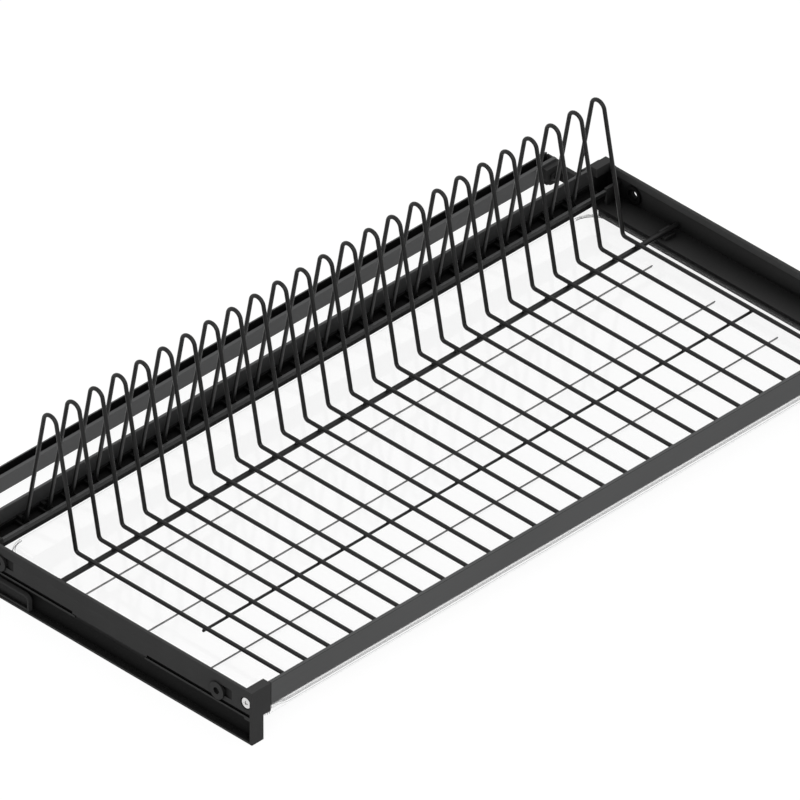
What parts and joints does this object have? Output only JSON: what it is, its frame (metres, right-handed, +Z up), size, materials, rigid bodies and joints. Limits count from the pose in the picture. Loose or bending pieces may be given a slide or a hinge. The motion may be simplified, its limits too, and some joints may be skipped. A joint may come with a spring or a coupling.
{
  "type": "cabinet dish drainer",
  "caption": "Built-in dish drainer that forms a wall cabinet's bottom: side panels and bars carry a lift-out plate rack over a clear slide-out drip tray, with a depth-adjustable rear rail.",
  "frame": {"origin": "centre of the bounding box at its bottom, which is the plane of the side panels' lower edges", "axes": "+X along the bars to the right as seen from the front, +Y from the front to the rear rail, +Z up"},
  "size_m": [0.564, 0.3, 0.1226],
  "materials": {
    "black_plastic": "matt moulded plastic",
    "dark_aluminium": "satin anodised",
    "coated_wire": "satin coated",
    "clear_plastic": "clear gloss",
    "black_steel": "blackened",
    "screw_steel": "plated"
  },
  "bodies": {
    "frame": {"side_panel_left": "black_plastic", "side_panel_right": "black_plastic", "front_profile": "dark_aluminium", "rear_bar": "dark_aluminium", "socket_strip": "black_plastic", "front_bar_screw_left": "screw_steel", "front_bar_screw_right": "screw_steel", "rear_bar_screw_left": "screw_steel", "rear_bar_screw_right": "screw_steel", "arm_clamp_screw_left": "screw_steel", "arm_clamp_screw_right": "screw_steel"},
    "rack": {"rack_wire_01": "coated_wire", "rack_wire_02": "coated_wire", "rack_wire_03": "coated_wire", "rack_wire_04": "coated_wire", "rack_wire_05": "coated_wire", "rack_wire_06": "coated_wire", "rack_wire_07": "coated_wire", "rack_wire_08": "coated_wire", "rack_wire_09": "coated_wire", "rack_wire_10": "coated_wire", "rack_wire_11": "coated_wire", "rack_wire_12": "coated_wire", "rack_wire_13": "coated_wire", "rack_wire_14": "coated_wire", "rack_wire_15": "coated_wire", "rack_wire_16": "coated_wire", "rack_wire_17": "coated_wire", "rack_wire_18": "coated_wire", "rack_wire_19": "coated_wire", "rack_wire_20": "coated_wire", "rack_wire_21": "coated_wire", "rack_wire_22": "coated_wire", "rack_wire_23": "coated_wire", "rack_wire_24": "coated_wire", "rack_wire_25": "coated_wire", "support_rod": "coated_wire", "cross_wire": "coated_wire"},
    "rail": {"rail_arm_left": "black_plastic", "rail_arm_right": "black_plastic", "rear_rail": "dark_aluminium", "rail_screw_left": "black_steel", "rail_screw_right": "black_steel"},
    "tray": {"drip_tray": "clear_plastic"}
  },
  "joints": [
    {"name": "tray_slide", "type": "slide", "parent": "frame", "child": "tray", "axis": [0, -1, 0], "range_m": [0, 0.2]},
    {"name": "rack_lift", "type": "slide", "parent": "frame", "child": "rack", "axis": [0, 0, 1], "range_m": [0, 0.05]},
    {"name": "rail_depth", "type": "slide", "parent": "frame", "child": "rail", "axis": [0, 1, 0], "range_m": [-0.01, 0.01]}
  ]
}
